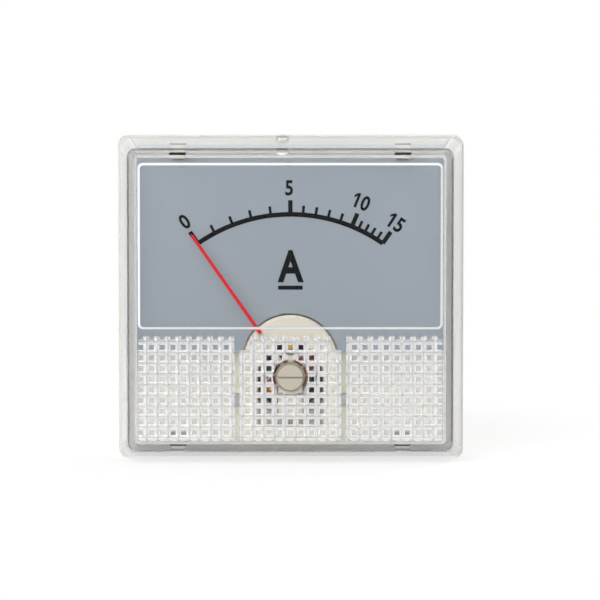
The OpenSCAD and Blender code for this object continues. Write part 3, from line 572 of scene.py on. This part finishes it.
def thread(bm, x, z, y0, y1, crest_r, pitch):
    """One closed V rib wound round a bar from y0 to y1, with its foot sunk in the bar."""
    sink, steps_a_turn = 0.02 * MM, 24
    foot_r = crest_r - RIB_HEIGHT * pitch - sink
    half_foot, half_crest = HALF_FOOT * pitch, HALF_CREST * pitch
    profile = [(foot_r, -half_foot), (crest_r, -half_crest), (crest_r, half_crest),
               (foot_r, half_foot)]
    corners = [bm.verts.new((x + r, y0 + pitch / 2 + dy, z)) for r, dy in profile]
    face = bm.faces.new(corners)
    run = y1 - y0 - pitch
    turns = run / pitch
    steps = int(turns * steps_a_turn)
    bmesh.ops.spin(bm, geom=[face], cent=(x, 0, z), axis=(0, -1, 0), dvec=(0, run / steps, 0),
                   angle=2 * math.pi * turns, steps=steps)
    settle_faces(bm)


def hexagon(bm, x, z, y0, y1, across, chamfer):
    """A hexagonal head with all its edges eased."""
    matrix = (Matrix.Translation((x, (y0 + y1) / 2, z)) @ LIE_FLAT
              @ Matrix.Rotation(math.pi / 6, 4, "Z"))
    corner_r = across / math.sqrt(3)
    made = bmesh.ops.create_cone(bm, cap_ends=True, segments=6, radius1=corner_r,
                                 radius2=corner_r, depth=y1 - y0, matrix=matrix)
    edges = unique(edge for v in made["verts"] for edge in v.link_edges)
    bmesh.ops.bevel(bm, geom=edges, offset=chamfer, offset_type="OFFSET", segments=2, profile=0.5,
                    affect="EDGES", material=-1)


def make_studs():
    """Four M3 studs, each with a head in the flange, a neck, and a thread from there to its tip."""
    low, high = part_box("mounting_studs")
    axis_in = 2.4 * MM  # from the side of the studs' box to an axis
    head_r, neck_r, stud_r, pitch = 2.35 * MM, 1.98 * MM, 1.5 * MM, 0.5 * MM
    root_r = stud_r - RIB_HEIGHT * pitch
    head_back, neck_back, shank_back, root_front = -1 * MM, -0.02 * MM, 0.8 * MM, 1.1 * MM
    thread_front, thread_end = 0.9 * MM, 0.2 * MM  # where it starts, and how far short of the tip
    tip, tip_in = 0.4 * MM, 0.15 * MM
    outline = [(low[1], head_r), (head_back, head_r), (head_back, neck_r), (neck_back, neck_r),
               (neck_back, stud_r), (shank_back, stud_r), (root_front, root_r),
               (high[1] - tip, root_r), (high[1], root_r - tip_in)]
    bm = bmesh.new()
    for x in (low[0] + axis_in, high[0] - axis_in):
        for z in (low[2] + axis_in, high[2] - axis_in):
            rod(bm, x, z, outline)
            thread(bm, x, z, thread_front, high[1] - thread_end, stud_r, pitch)
    bmesh.ops.recalc_face_normals(bm, faces=bm.faces)
    fit(piece_from(bm, "threaded_studs", FINISHES["zinc_steel"], smooth_angle=35), "root",
        "zinc_steel", "mounting_studs")


def make_terminal(node, name):
    """A brass M4 bolt: a hexagonal head, a plain shank through the case's wall, then its thread."""
    low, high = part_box(node)
    x, z = (low[0] + high[0]) / 2, (low[2] + high[2]) / 2
    head, across, chamfer = 2.8 * MM, 7 * MM, 0.3 * MM
    shank_r, crest_r, pitch = 2 * MM, 1.95 * MM, 0.7 * MM
    root_r = crest_r - RIB_HEIGHT * pitch
    shank_back, thread_front, root_front, thread_end = 32 * MM, 32.1 * MM, 32.2 * MM, 0.1 * MM
    tip, tip_in = 0.5 * MM, 0.3 * MM
    head_back = low[1] + head
    bm = bmesh.new()
    hexagon(bm, x, z, low[1], head_back, across, chamfer)
    rod(bm, x, z, [(head_back - chamfer, shank_r), (shank_back, shank_r), (root_front, root_r),
                   (high[1] - tip, root_r), (high[1], root_r - tip_in)])
    thread(bm, x, z, thread_front, high[1] - thread_end, crest_r, pitch)
    bmesh.ops.recalc_face_normals(bm, faces=bm.faces)
    fit(piece_from(bm, name, FINISHES["brass"], smooth_angle=35), "root", "brass", node)


make_studs()
make_terminal("positive_terminal", "positive_terminal_bolt")
make_terminal("negative_terminal", "negative_terminal_bolt")


# ---- Moulded signs on the case ----

def moulded_sign(name, x, arms):
    """A raised polarity sign on the case's back: a hub with two or four arms drawn out of it."""
    stroke, reach, rise, sign_z = 0.8 * MM, 1.3 * MM, 0.4 * MM, 9 * MM
    edge_round, corner_angle = 0.12 * MM, 1  # radians; an edge that turns less isn't a corner
    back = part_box("rear_case")[1][1]
    bm = bmesh.new()
    bmesh.ops.create_cube(bm, size=stroke)
    for way in arms:
        side = max(bm.faces, key=lambda face: face.calc_center_median().dot(way))
        drawn = bmesh.ops.extrude_discrete_faces(bm, faces=[side])["faces"][0]
        bmesh.ops.translate(bm, verts=drawn.verts, vec=way * reach)
    # a third of its thickness is sunk in the wall
    bmesh.ops.scale(bm, verts=bm.verts, vec=(1, 1.5 * rise / stroke, 1))
    bmesh.ops.translate(bm, verts=bm.verts, vec=(x, back + rise / 4, sign_z))
    corners = [edge for edge in bm.edges if edge.calc_face_angle(0) > corner_angle]
    bmesh.ops.bevel(bm, geom=corners, offset=edge_round, offset_type="OFFSET", segments=3,
                    profile=0.5, affect="EDGES", material=-1)
    fit(piece_from(bm, name, FINISHES["ivory_abs"], smooth_angle=40), "root", "ivory_abs")


ACROSS, UP = Vector((1, 0, 0)), Vector((0, 0, 1))
moulded_sign("plus_sign", 12 * MM, (ACROSS, -ACROSS, UP, -UP))
moulded_sign("minus_sign", -12 * MM, (ACROSS, -ACROSS))

light_the_scene()
lay_floor(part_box("front_cover")[0][2])
